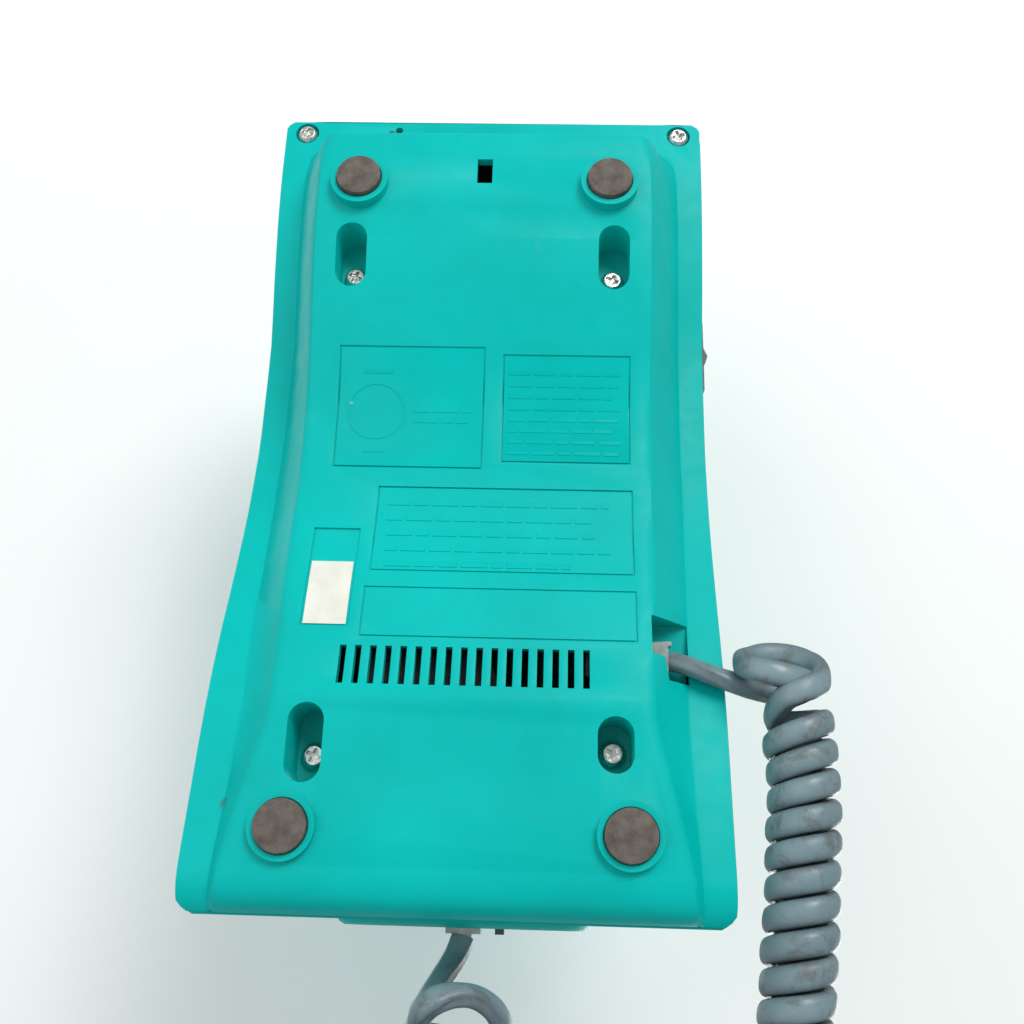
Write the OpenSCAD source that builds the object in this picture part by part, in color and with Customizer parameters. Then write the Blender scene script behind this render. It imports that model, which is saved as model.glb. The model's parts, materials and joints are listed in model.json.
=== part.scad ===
// Slimline desk and wall telephone: dial-in handset on an arched cradle base.
// Millimetres. +Z up, feet at z = 0, +Y towards the receiver end, -Y towards the transmitter end.

/* [Base] */
// Length of the base
base_len = 200; // [196:1:204]
// Width of the base
base_w = 111; // [109:0.5:113]
// Wall thickness of the two base covers
wall = 2.4; // [2.2:0.1:2.6]
// Half width of the raised underside panel
panel_half = 41; // [40:0.5:41.5]

/* [Feet and wells] */
// Diameter of a rubber foot
foot_d = 10.6; // [10:0.1:11]
// Foot spacing at the receiver end, centre to centre
foot_top_x = 60.2; // [59:0.1:61]
// Foot spacing at the transmitter end, centre to centre
foot_bot_x = 68.4; // [67:0.1:69]
// Spacing of the screw wells across the base
well_x = 62.8; // [62:0.1:63.5]
// Width of a screw well
well_w = 7.4; // [7:0.1:7.8]

/* [Vents] */
// Number of sounder vents
vent_n = 17; // [9:2:17]
// Pitch of the vents
vent_pitch = 3.18; // [3:0.02:3.2]
// Width of one vent
vent_w = 1.4; // [1.2:0.1:1.5]

/* [Handset] */
// Length of the handset
hs_len = 205; // [203:0.5:206]
// Width of the handset
hs_w = 57; // [56:0.5:57]
// Wall thickness of the handset shells
hs_wall = 2.2; // [2:0.1:2.4]

/* [Keys] */
// Column pitch of the keypad
key_px = 15; // [14.5:0.5:15]
// Row pitch of the keypad
key_py = 13; // [12.5:0.5:13]
// Key travel
key_travel = 1.2; // [1:0.1:1.2]

/* [Cord] */
// Thickness of the handset cord
cord_d = 4.8; // [4.6:0.1:5]
// Outer diameter of the curly part
coil_od = 15; // [14:0.5:15.5]

/* [Hidden] */
$fn = 48;
W = base_w/2;
HW = hs_w/2;
y_s = -base_len/2 - 1.1;      // transmitter end of the base
y_n = base_len/2 - 0.9;       // receiver end of the base
feet_y = [66.2, -84.4];
well_yt = 48; well_yb = -67.8;
screw_pts = [[well_x/2, 46.4], [-well_x/2, 46.4], [well_x/2, -69.2], [-well_x/2, -67.2]];
jack_y = -47.5; jack_z = 13.1;
shell_col = [0, 0.68, 0.63];

// ---- curves: [y, z] knots joined by cubic pieces ----
function sl(P,i) = i <= 0 ? (P[1][1]-P[0][1])/(P[1][0]-P[0][0])
  : i >= len(P)-1 ? (P[i][1]-P[i-1][1])/(P[i][0]-P[i-1][0])
  : let(a=(P[i][1]-P[i-1][1])/(P[i][0]-P[i-1][0]), b=(P[i+1][1]-P[i][1])/(P[i+1][0]-P[i][0])) (a*b <= 0 ? 0 : 2*a*b/(a+b));
function seg(P,y,i=0) = (i >= len(P)-2 || y <= P[i+1][0]) ? i : seg(P,y,i+1);
function cv(P,y0) = let(y=max(P[0][0],min(P[len(P)-1][0],y0)), i=seg(P,y), h=P[i+1][0]-P[i][0], t=(y-P[i][0])/h)
  (2*t*t*t-3*t*t+1)*P[i][1] + (t*t*t-2*t*t+t)*h*sl(P,i) + (-2*t*t*t+3*t*t)*P[i+1][1] + (t*t*t-t*t)*h*sl(P,i+1);

RIM = [[-101.1,9.5],[-98,7.4],[-94,6.4],[-80,8.5],[-62,11.5],[-46,15.6],[-28,22],[-8,28],[12,31],[32,31],[52,27],[72,23.5],[84,22.6],[99.1,22.5]];
PAN = [[-101.1,9.4],[-100.3,7.6],[-98.6,5],[-96,3.6],[-93,3],[-58.2,3],[-57.4,3.12],[-54,4.1],[-46,5.8],[-34,8.6],[-18,13],[-2,15.3],[12,15.2],[26,12.2],[40,8],[52,5.2],[62,3.8],[72,3.1],[80,3],[82,5],[85,11],[89,20.5],[91,22.5],[99.1,22.5]];
PW = [[-101.1,48],[-92,47],[-75,43.2],[-59,39.8],[-48,40],[-20,panel_half],[60,panel_half],[76,40.6],[80,39.5],[91,44]];
FW = [[-101.1,48.8],[-92,48.4],[-60,46.8],[-40,48],[0,49],[60,49],[80,48.6],[91,47]];
function rim(y) = cv(RIM,y);
function pan(y) = min(cv(PAN,y), rim(y));
function bw(y) = W - 0.5 - (y > 97 ? (y-97)*(y-97)*0.45 : 0) - (y < -98 ? (-98-y)*(-98-y)*0.3 : 0);
function tin(y) = y < 78 ? wall : y > 92 ? wall : y < 84 ? wall + (y-78)*0.6 : y < 88 ? wall + 3.6 : wall + (92-y)*0.9;

function mir(H) = [for(i=[len(H)-1:-1:0]) if (H[i][0] > 0.001) [-H[i][0], H[i][1]]];
function rev(H) = [for(i=[len(H)-1:-1:0]) H[i]];
// closed solid through the same-sized outlines S (x,z) standing at Y
module loft(S, Y) {
  n = len(S[0]); m = len(S);
  polyhedron(points=[for(i=[0:m-1]) for(p=S[i]) [p[0], Y[i], p[1]]],
    faces=concat([[for(j=[n-1:-1:0]) j]],
      [for(i=[0:m-2]) for(j=[0:n-1]) for(t=[0,1]) t==0 ? [i*n+j, i*n+(j+1)%n, (i+1)*n+(j+1)%n] : [i*n+j, (i+1)*n+(j+1)%n, (i+1)*n+j]],
      [[for(j=[0:n-1]) (m-1)*n+j]]), convexity=6);
}
module rrect(w,h,r) { square([w-2*r,h],center=true); square([w,h-2*r],center=true); for(x=[-1,1]) for(y=[-1,1]) translate([x*(w/2-r),y*(h/2-r)]) circle(r); }
module obround(w,l) { square([w,l-w],center=true); for(s=[-1,1]) translate([0,s*(l-w)/2]) circle(w/2); }
module cyl(x,y,z0,z1,r) translate([x,y,z0]) cylinder(h=z1-z0, r=r);
module box(x0,x1,y0,y1,z0,z1) translate([x0,y0,z0]) cube([x1-x0,y1-y0,z1-z0]);
// side-profile slab that follows the underside panel, from d0 to d1 above its surface
module panel_slab(d0,d1,ya,yb,xa,xb) {
  YY = [for(y=[ya:2:yb]) y];
  translate([xa,0,0]) rotate([90,0,90]) linear_extrude(xb-xa)
    polygon(concat([for(y=YY) [y,pan(y)+d0]], [for(i=[len(YY)-1:-1:0]) [YY[i],pan(YY[i])+d1]]));
}

// ---- base ----
YB = [-100.6,-99.8,-98.6,-97,-95,-92,-84,-75,-67,-61,-58.2,-57.4,-54,-50,-46,-40,-34,-26,-18,-10,-2,6,12,20,28,36,44,52,60,68,75,79,80.5,82,84,86,88,90,92,95,97,98.2,99.1];
function sheet(y) = let(p=pan(y), r=rim(y), t=tin(y), a=cv(PW,y), b=cv(FW,y),
  o=[[a-3,p],[a-0.8,min(p+0.3,r)+0.01],[a,min(p+1.0,r)+0.03],[b,r-0.2],[b+0.9,r],[bw(y),r+0.02]],
  n=[[a-3.6,p+t],[a-2.6,min(p+1,r)+t-0.2],[b-2.4,r+wall-0.3],[b-1,r+wall-0.02],[bw(y),r+wall]])
  concat(mir(o), o, rev(n), rev(mir(n)));

// everything outside the sheet on its -X half, a little way into its thickness
function below(y) = let(p=pan(y), r=rim(y), a=cv(PW,y), b=cv(FW,y))
  [[-62,-30],[-20,-30],[-20,p+0.5],[-(a-1.2),p+0.52],[-(a-0.4),min(p+1,r)+0.3],[-(b-0.6),r+0.4],[-62,r+0.42]];
module base_sheet() loft([for(y=YB) sheet(y)], YB);
module well_outer(x,y,l) difference() {
  translate([x,y,3.5]) linear_extrude(15) obround(well_w+3.2,l+3.2);
  panel_slab(-20,0.5,y-14,y+14,x-9,x+9);
}
module well_cut(x,y,l) translate([x,y,-2]) linear_extrude(18) obround(well_w,l);

module base_bottom_cover() color(shell_col) {
  difference() {
    union() {
      base_sheet();
      for(s=[-1,1]) { cyl(s*foot_top_x/2, feet_y[0], 1.3, 7, 6.9); cyl(s*foot_bot_x/2, feet_y[1], 1.3, 5, 6.7); }
      for(s=[-1,1]) well_outer(s*well_x/2, well_yt, 15.4);
      well_outer(well_x/2, well_yb, 16); well_outer(-well_x/2, -66.8, 11.4);
      // corner screw seats
      for(s=[-1,1]) cyl(s*49.4, 95.5, 22.7, 24.68, 3.5);
      // housing around the cord socket
      difference() { box(-47.6,-37.2,-54.4,-36.8,4.0,20.0); loft([for(y=YB) if(y > -62 && y < -30) below(y)], [for(y=YB) if(y > -62 && y < -30) y]); }
    }
    // feet recesses
    for(s=[-1,1]) { cyl(s*foot_top_x/2, feet_y[0], 0, 2.2, foot_d/2+0.25); cyl(s*foot_bot_x/2, feet_y[1], 0, 2.2, foot_d/2+0.25); }
    // screw wells
    for(s=[-1,1]) well_cut(s*well_x/2, well_yt, 15.4);
    well_cut(well_x/2, well_yb, 16); well_cut(-well_x/2, -66.8, 11.4);
    for(p=screw_pts) cyl(p[0],p[1],10,22,1.8);
    // corner screws
    for(s=[-1,1]) { cyl(s*49.4, 95.5, 18, 24, 3.1); cyl(s*49.4, 95.5, 18, 30, 1.7); }
    // vents
    translate([0,-51.4,-1]) linear_extrude(12) for(i=[0:vent_n-1]) translate([(i-(vent_n-1)/2)*vent_pitch,0]) square([vent_w,8.4],center=true);
    // hanger slot and small drain hole
    translate([0,69.7,-1]) linear_extrude(12) square([3.7,6.6],center=true);
    cyl(24.8, 96.6, 18, 30, 1.0);
    // cord socket recess: open below at its receiver side, covered below at its transmitter side
    box(-47.8,-39.2,-47.3,-38.8,-1,18);
    box(-47.8,-39.2,-52.4,-46.9,8.9,18);
    // socket window through the recess wall
    box(-40,-30,-52.15,-42.85,8.6,18.05);
    // line of four shallow panels, moulded as fine grooves
    intersection() {
      union() { panel_slab(-1,0.35,-48,32,-45,45); }
      translate([0,0,-2]) linear_extrude(30) {
        panel_line(33.2,-1.4,-3.2,26.6); panel_line(-5.6,-35.6,-1.4,25);
        panel_line(22,-36,-29.6,-8); panel_line(22.6,-36.2,-45.2,-33.4);
      }
    }
    // shallow seat for the label
    intersection() { panel_slab(-1,0.45,-48,-14,24,36); translate([0,0,-2]) linear_extrude(30) translate([30.2,-31]) square([10.4,24],center=true); }
  }
}
module panel_line(xa,xb,ya,yb) difference() {
  translate([(xa+xb)/2,(ya+yb)/2]) square([abs(xa-xb),abs(yb-ya)],center=true);
  translate([(xa+xb)/2,(ya+yb)/2]) square([abs(xa-xb)-0.8,abs(yb-ya)-0.8],center=true);
}

module label_sticker() color([0.9,0.9,0.84]) intersection() {
  panel_slab(0.1,0.4,-48,-14,24,36); translate([0,0,-2]) linear_extrude(30) translate([30.2,-35]) square([9.2,15],center=true);
}

ZT = [[-101.1,23],[-99,27.4],[-96,30.3],[-88,30.4],[-73,30.4],[-62,33.2],[-50,43.6],[-42,49],[-37,50.2],[28,50.2],[33,49.2],[42,45.4],[53,40.8],[62,39.8],[93,39.8],[97,39.4],[99.1,37]];
CK = [[-101.1,0.4],[-98,3.4],[-92,5],[-60,5],[-45,2.6],[-36,1.6],[28,1.6],[45,4],[60,6],[92,6],[97,4],[99.1,0.8]];
function tw(y) = W - (y > 96 ? (y-96)*(y-96)*0.3 : 0) - (y < -98 ? (-98-y)*(-98-y)*0.3 : 0);
// the two end outlines are plain crowns without the cradle's cheeks
function top_out(y) = let(zb=rim(y)+wall+0.05, zt=cv(ZT,y), zk=zt+cv(CK,y), w=tw(y), h=zk-zb, c=zt-zb,
  o=(y < -101 || y > 99) ? [[w,zb],[w-0.3,zb+c*0.42],[w-2.6,zb+c*0.74],[w-8,zb+c*0.9],[42,zb+c*0.94],[36,zb+c*0.97],[31.4,zb+c*0.985],[29.7,zb+c*0.9895],[29.4,zb+c*0.99]]
  : [[w,zb],[w-0.3,zb+h*0.42],[w-2.6,zb+h*0.72],[w-8,zb+h*0.9],[42,zk-0.8],[36,zk],[31.4,zk],[29.7,max(zt+0.06,zk-0.9)],[29.4,zt]])
  concat(o, mir(o));
function top_in(y) = let(zb=rim(y)+wall, zt=cv(ZT,y), zk=zt+cv(CK,y), w=tw(y)-2.3, h=zk-zb, c=zt-2.3-zb,
  o=(y < -98.5 || y > 96.5) ? [[w,zb-6],[w-0.2,zb+c*0.38],[w-2.6,zb+c*0.66],[w-8,zb+c*0.84],[42,zb+c*0.9],[36,zb+c*0.955],[33,zb+c*0.975],[32.2,zb+c*0.979],[29.4,zb+c*0.99]]
  : [[w,zb-6],[w-0.2,zb+h*0.38],[w-2.6,zb+h*0.64-0.6],[w-8,zb+h*0.9-3],[42,zk-3.3],[36,zk-2.6],[33,zk-2.7],[32.2,zt-2.3],[29.4,zt-2.4]])
  concat(o, mir(o));
YT = concat([-101.1],YB);
YI = concat([-98.8],[for(y=YT) if(y > -97.5 && y < 96) y],[96.7]);
module base_top_cover() color(shell_col) difference() {
  union() {
    difference() { loft([for(y=YT) top_out(y)], YT); loft([for(y=YI) top_in(y)], YI); }
    for(p=screw_pts) cyl(p[0],p[1],18.8, cv(ZT,p[1])-1.2, 3.6);
    for(s=[-1,1]) cyl(s*49.4,95.5,24.85,36,3.3);
    // board posts
    for(p=[[36,34],[-36,34],[36,-30],[-36,-24]]) cyl(p[0],p[1],28.1, cv(ZT,p[1])-1.2, 2.6);
  }
  for(p=screw_pts) cyl(p[0],p[1],10,28,1.55);
  for(s=[-1,1]) cyl(s*49.4,95.5,20,33,1.55);
  // plunger guide
  cyl(0,56,35,46,2.55);
  // hanger tab seat
  box(-6.1,6.1,74,79.2,36,46);
  // line jack window in the receiver end wall
  box(-5.9,5.9,90,104,27.4,36.2);
  // ringer switch slot
  box(-60,-50,32.2,43.8,36.8,40.2);
}

module rubber_feet() color([0.4,0.36,0.34]) for(s=[-1,1]) {
  cyl(s*foot_top_x/2, feet_y[0], 0, 2.2, foot_d/2); cyl(s*foot_bot_x/2, feet_y[1], 0, 2.2, foot_d/2); }

module screw(hz, hr, hh, len, sr) difference() {   // head below, shank up
  union() { translate([0,0,hz]) cylinder(h=hh*0.45, r1=hr*0.72, r2=hr); translate([0,0,hz+hh*0.45]) cylinder(h=hh*0.55, r=hr); translate([0,0,hz+hh]) cylinder(h=len, r=sr); }
  for(a=[0,90]) rotate([0,0,a]) translate([-hr*0.6,-0.45,hz-1]) cube([hr*1.2,0.9,1+hh*0.6]);
}
module case_screws() color("silver") for(p=screw_pts) translate([p[0],p[1],0]) rotate([0,0,25]) screw(13.9,2.7,2.1,11,1.5);
module corner_screws() color("silver") for(s=[-1,1]) translate([s*49.4,95.5,0]) rotate([0,0,s*20]) screw(22.1,2.7,1.9,8,1.5);

module base_circuit_board() color([0.55,0.4,0.2]) difference() {
  union() { box(-41.6,41.6,-42,46,26.4,28.0); box(-14,14,46,63,26.4,28.0); }
  for(p=[[36,34],[-36,34],[36,-30],[-36,-24]]) cyl(p[0],p[1],24,30,1.2);
  for(p=screw_pts) if (p[1] > 0) cyl(p[0],p[1],24,30,4.4);
}
module sounder() color([0.15,0.15,0.15]) difference() { union() { cyl(8,-56,12,22,15); cyl(8,-56,22,23.4,12); } cyl(8,-56,10,13.2,2.2); }
module line_transformer() color([0.75,0.55,0.15]) { box(10,26,4,20,28.0,36); box(8.4,27.6,8,16,28.0,37.6); }
module board_capacitors() color([0.2,0.25,0.5]) { cyl(-18,10,28.0,39,4); cyl(-28,0,28.0,37,3); cyl(-16,-6,28.0,36,2.6); }
module line_jack() color([0.45,0.46,0.45]) difference() { box(-7,7,82,96.6,26.4,37.0); box(-5.0,5.0,87,100,28.2,35.4); box(-3.2,3.2,87,100,27.4,30); }
module base_cord_jack() color([0.12,0.12,0.12]) difference() { box(-39.1,-25.4,-52.0,-43.0,8.75,17.9); box(-44,-31,-51.2,-43.6,9.2,17.0); }
module ballast_plate() color([0.45,0.46,0.48]) box(-26,26,-94,-78,6.4,10.4);
module ringer_switch_body() color([0.2,0.2,0.2]) difference() { box(-50.4,-44.6,30,46,35.0,40.7); box(-55,-48.4,31.8,44.2,36.8,40.2); }
module ringer_switch_knob() color([0.27,0.27,0.28]) {
  box(-55.8,-48.8,35,41,37,40);
  translate([0,0,36.6]) linear_extrude(3.8) polygon([[-55.7,27.8],[-56.2,27.8],[-56.4,28.4],[-56.4,35.6],[-56.7,36.4],[-57.4,38],[-56.7,39.6],[-56.4,40.4],[-56.4,47.6],[-56.2,48.2],[-55.7,48.2]]);
}
module hook_plunger() color([0.12,0.12,0.12]) { cyl(0,56,33.6,40.6,2.5); cyl(0,56,32.6,33.55,3.6); translate([0,56,40.6]) cylinder(h=0.5, r1=2.5, r2=2.0); }
module hook_switch_block() color([0.8,0.8,0.75]) { box(-8,8,49,62,28.0,30.6); box(-6,6,54,58,30.6,32.2); box(-8,8,49,51,30.6,35.4); }
module hang_tab() color([0.55,0.58,0.58]) { box(-6,6,74.1,79.1,37.4,39.6); box(-3,3,74.1,76.4,39.6,40.0); }

// ---- handset ----
ZF = [[-102.6,36.4],[-101,33.4],[-98,31.5],[-92,31],[-72,31],[-62,34],[-50,44.8],[-41,51.4],[-36,53],[26,53],[32,52.2],[42,48.4],[53,43.2],[62,40.6],[92,40.6],[97,41.6],[100.4,44],[102.4,48]];
ZB = [[-102.6,50],[-101.2,53.4],[-98,56],[-90,59],[-60,68],[-20,77],[20,80],[55,79],[85,74.5],[96,70],[100.6,65.6],[102.4,61]];
HX = [[-102.6,HW-1.8],[-101.8,HW-0.6],[-100,HW],[-92,HW],[-40,HW-1.4],[0,HW-1.8],[40,HW-1.4],[92,HW],[98,HW-0.5],[101.2,HW-3],[102.4,HW-5.5]];
function zm(y) = cv(ZF,y)*0.56 + cv(ZB,y)*0.44;
function back_out(y,d=0) = let(w=cv(HX,y)-d, b=zm(y)-(d>0?3:0), m=zm(y), t=cv(ZB,y)-d, h=t-m,
  o=[[w,b],[w,m+h*0.34],[w-1.2,m+h*0.56],[w-3.8,m+h*0.76],[w-8,m+h*0.91],[w-14,m+h*0.98],[6,t]]) concat(o, mir(o));
function face_out(y,d=0) = let(w=cv(HX,y)-d, b=zm(y)-0.1+(d>0?3:0), m=zm(y), f=cv(ZF,y)+d, g=m-f,
  o=[[w-7,f],[w-3.6,f+min(0.6,g*0.1)],[w-1.4,f+min(2,g*0.3)],[w-0.2,f+g*0.55],[w,b]]) concat(o, mir(o));
YH = [-102.6,-102,-101,-99.4,-97,-92,-84,-74,-68,-62,-56,-50,-45,-41,-36,-28,-18,-8,2,12,20,26,32,38,45,53,58,64,74,84,92,95,98,100.2,101.6,102.4];
YHI = concat([-100.4],[for(y=YH) if(y > -99.5 && y < 99) y],[100.0]);
hs_scr = [[16,-62],[-16,-62],[17,37],[-17,37]];
module handset_back_shell() color(shell_col) difference() {
  union() {
    difference() { loft([for(y=YH) back_out(y)], YH); loft([for(y=YHI) back_out(y,hs_wall)], YHI); }
    for(p=hs_scr) cyl(p[0],p[1],zm(p[1])+0.5, cv(ZB,p[1])-1.4, 3);
  }
  for(p=hs_scr) cyl(p[0],p[1],30, zm(p[1])+12, 1.25);
  box(-4.2,4.2,-106,-92,36.6,44.8);
}
module key_holes() for(r=[0:3]) for(c=[-1,0,1]) translate([c*key_px, 18-r*key_py]) rrect(10.8,8.4,1.6);
module handset_face_shell() color(shell_col) difference() {
  union() {
    difference() { loft([for(y=YH) face_out(y)], YH); loft([for(y=YHI) face_out(y,hs_wall)], YHI); }
    for(p=hs_scr) cyl(p[0],p[1],max(cv(ZF,p[1]-3.6),cv(ZF,p[1]+3.6))+0.8, zm(p[1])+0.2, 3.6);
  }
  translate([0,0,48]) linear_extrude(12) { key_holes(); for(s=[-1,1]) translate([s*9,-31]) rrect(10.8,4.4,1); }
  for(p=hs_scr) { cyl(p[0],p[1],28, zm(p[1])-3.4, 2.6); cyl(p[0],p[1],28, zm(p[1])+2, 1.45); }
  // receiver grille
  cyl(0,77,38,46,1.0);
  for(a=[0:45:315]) cyl(5*cos(a),77+5*sin(a),38,46,0.9);
  for(a=[15:30:345]) cyl(10*cos(a),77+10*sin(a),38,46,0.9);
  // microphone grille
  for(x=[-4,0,4]) for(y=[-84,-80]) cyl(x,y,28,36,0.8);
  // cord socket and volume slider windows in the end wall
  box(-4.2,4.2,-106,-92,36.6,44.8);
  box(-14.4,-6.4,-106,-96,38.4,41.2);
}
module receiver_capsule() color([0.2,0.2,0.2]) difference() { union() { cyl(0,77,43.2,50,15); cyl(0,77,50,54,9); } cyl(0,77,42,43.8,12.5); }
module microphone_capsule() color([0.6,0.6,0.6]) difference() { cyl(0,-82,33.5,39,5.2); cyl(0,-82,32,34,3.2); }
module handset_circuit_board() color([0.1,0.35,0.15]) difference() { box(-22,22,-50,32,59.6,61.2); for(p=[[0,-44],[0,28]]) cyl(p[0],p[1],58,63,1.4); }
module keypad_membrane() color([0.35,0.36,0.36]) difference() {
  union() { box(-22,22,-36,26,57.9,59.5); for(r=[0:3]) for(c=[-1,0,1]) cyl(c*key_px,18-r*key_py,57.7,58.2,3.2); }
}
module handset_cord_jack() color([0.12,0.12,0.12]) difference() { box(-5.6,5.6,-100.2,-87.8,35.2,46); box(-3.95,3.95,-104,-92,36.9,44.3); }
module volume_slider_track() color([0.12,0.12,0.12]) difference() { box(-15.4,-5.9,-100.2,-95,36.8,43.0); box(-14.4,-6.4,-102,-97.6,38.4,41.2); }
module volume_slider() color([0.45,0.47,0.46]) { box(-9.0,-7.0,-103.8,-97.9,38.7,40.9); box(-10.0,-7.0,-99.6,-98,38.7,40.9); }
module handset_weight() color([0.5,0.5,0.52]) box(-16,16,42,62,60,68);
module handset_screws() color("silver") for(p=hs_scr) translate([p[0],p[1],0]) screw(zm(p[1])-5.3,2.4,1.9,9,1.2);

module key(c,r) color([0.86,0.86,0.82]) translate([c*key_px, 18-r*key_py, 0]) {
  translate([0,0,51.5]) linear_extrude(4.6) rrect(10.4,8.0,1.4);
  translate([0,0,55.9]) linear_extrude(0.55) rrect(11.8,9.6,1.2);
}
module small_key(s) color([0.86,0.86,0.82]) translate([s*9,-31,0]) {
  translate([0,0,51.5]) linear_extrude(4.2) rrect(10.4,4.0,0.8);
  translate([0,0,55.4]) linear_extrude(1.0) rrect(12.4,5.4,0.8);
}
module key_1() key(1,0);
module key_2() key(0,0);
module key_3() key(-1,0);
module key_4() key(1,1);
module key_5() key(0,1);
module key_6() key(-1,1);
module key_7() key(1,2);
module key_8() key(0,2);
module key_9() key(-1,2);
module key_star() key(1,3);
module key_0() key(0,3);
module key_hash() key(-1,3);
module key_redial() small_key(1);
module key_flash() small_key(-1);

// ---- cord ----
// plug: front end at the origin pointing +X, width along Y, latch on +Z
module plug_body() { difference() { translate([-11.6,-3.8,-3.1]) cube([11.6,7.6,6.2]); for(i=[-1.5:1:1.5]) translate([-4,i*1.1-0.3,-4]) cube([5,0.6,2]); }
  translate([-12.6,-1.6,3.1]) rotate([0,4,0]) cube([10.6,3.2,0.9]); translate([-3.4,-1.6,2.6]) cube([2.4,3.2,1.1]); }
module base_plug() color([0.75,0.78,0.78]) translate([-31.2,jack_y,jack_z]) rotate([-90,0,0]) plug_body();
module handset_plug() color([0.75,0.78,0.78]) translate([0,-92.2,40.5]) rotate([0,0,90]) plug_body();

function unit(v) = v/norm(v);
function cross3(a,b) = [a[1]*b[2]-a[2]*b[1], a[2]*b[0]-a[0]*b[2], a[0]*b[1]-a[1]*b[0]];
function tang(P,i) = unit(P[min(i+1,len(P)-1)]-P[max(i-1,0)]);
// Catmull-Rom route through round-number points
function cr(a,b,c,d,t) = 0.5*((2*b)+(c-a)*t+(2*a-5*b+4*c-d)*t*t+(3*b-a-3*c+d)*t*t*t);
function route(P,k) = concat([for(i=[0:len(P)-2]) for(j=[0:k-1]) cr(P[max(i-1,0)],P[i],P[i+1],P[min(i+2,len(P)-1)],j/k)], [P[len(P)-1]]);
module tube(P, d, n, up=[0,0,1]) {
  m = len(P);
  polyhedron(points=[for(i=[0:m-1]) let(t=tang(P,i), u=unit(cross3(abs(t*up) > 0.95 ? [1,0,0] : up, t)), v=cross3(t,u)) for(j=[0:n-1]) P[i]+ (d/2)*(cos(360*j/n)*u + sin(360*j/n)*v)],
    faces=concat([[for(j=[0:n-1]) j]],
      [for(i=[0:m-2]) for(j=[0:n-1]) for(t=[0,1]) t==0 ? [i*n+j, (i+1)*n+j, (i+1)*n+(j+1)%n] : [i*n+j, (i+1)*n+(j+1)%n, i*n+(j+1)%n]],
      [[for(j=[n-1:-1:0]) (m-1)*n+j]]), convexity=4);
}
LEAD_B = [[-43.3,-47.5,13.1],[-44.8,-47.55,12.9],[-47,-47.8,12],[-52,-48.8,10.4],[-58.2,-50.4,9]];
COIL_P = [[-66.2,-47.6,7.7],[-67,-72,7.7],[-69,-95,7.7],[-66.5,-117,7.7],[-62,-136,7.7],[-51,-151,7.7],[-34,-161,7.7],[-10,-168,7.7],[16,-171.5,7.7],[38,-170.5,7.7],[53,-164.5,7.7],[60.5,-154,7.7],[57,-143,7.7],[45,-137.5,7.7],[30,-138,7.7],[17,-139.5,7.7],[8,-137.8,7.7],[2,-132,7.7],[0.8,-122.6,7.7]];
LEAD_H = [[0,-104.3,40.5],[0.6,-107.6,39.4],[2.6,-112,34],[4.8,-115.4,26],[5.8,-117.4,19],[5.6,-118.3,13],[5.2,-118.4,9]];
module cord_lead_base() color([0.45,0.53,0.6]) tube(route(LEAD_B,3), cord_d, 10);
module cord_coil() color([0.45,0.53,0.6]) tube(route(COIL_P,3), coil_od, 12);
module cord_lead_handset() color([0.45,0.53,0.6]) tube(route(LEAD_H,4), cord_d, 10);

base_bottom_cover();
base_top_cover();
rubber_feet();
case_screws();
corner_screws();
label_sticker();
base_circuit_board();
sounder();
line_transformer();
board_capacitors();
line_jack();
base_cord_jack();
ballast_plate();
ringer_switch_body();
ringer_switch_knob();
hook_plunger();
hook_switch_block();
hang_tab();
handset_back_shell();
handset_face_shell();
receiver_capsule();
microphone_capsule();
handset_circuit_board();
keypad_membrane();
handset_cord_jack();
volume_slider();
volume_slider_track();
handset_weight();
handset_screws();
key_1();
key_2();
key_3();
key_4();
key_5();
key_6();
key_7();
key_8();
key_9();
key_star();
key_0();
key_hash();
key_redial();
key_flash();
base_plug();
handset_plug();
cord_lead_base();
cord_coil();
cord_lead_handset();
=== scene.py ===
import bpy, bmesh, math, json
from mathutils import Vector, Matrix


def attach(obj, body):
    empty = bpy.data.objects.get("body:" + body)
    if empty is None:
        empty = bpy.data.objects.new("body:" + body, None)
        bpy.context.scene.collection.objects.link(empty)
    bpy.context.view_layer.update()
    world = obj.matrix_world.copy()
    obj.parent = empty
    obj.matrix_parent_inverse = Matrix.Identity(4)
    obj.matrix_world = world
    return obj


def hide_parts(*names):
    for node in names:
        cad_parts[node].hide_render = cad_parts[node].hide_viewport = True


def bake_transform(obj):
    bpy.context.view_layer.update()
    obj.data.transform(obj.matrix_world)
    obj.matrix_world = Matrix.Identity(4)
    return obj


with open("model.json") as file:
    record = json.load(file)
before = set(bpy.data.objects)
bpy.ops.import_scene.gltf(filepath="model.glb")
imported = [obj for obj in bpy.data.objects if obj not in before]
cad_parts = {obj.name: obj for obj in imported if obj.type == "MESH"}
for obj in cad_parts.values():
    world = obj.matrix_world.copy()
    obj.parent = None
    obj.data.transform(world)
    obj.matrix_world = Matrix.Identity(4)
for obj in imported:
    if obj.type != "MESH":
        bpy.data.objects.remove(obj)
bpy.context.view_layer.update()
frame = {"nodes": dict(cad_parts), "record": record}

N = frame["nodes"]
SC = bpy.context.scene
MM = 0.001

# ---------------------------------------------------------------- camera
cam_data = bpy.data.cameras.new("photo_camera")
cam_data.sensor_width = 36.0
cam_data.lens = 39.02
cam_data.clip_start = 0.01
cam = bpy.data.objects.new("photo_camera", cam_data)
SC.collection.objects.link(cam)
r_ = Vector((-0.99929, 0.02926, 0.02365))
d_ = Vector((-0.01963, -0.94174, 0.33577))
f_ = Vector((0.03210, 0.33506, 0.94165))
rot = Matrix((r_, -d_, -f_)).transposed()
cam.matrix_world = Matrix.Translation((-0.016789, -0.097955, -0.222004)) @ rot.to_4x4()
SC.camera = cam


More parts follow.
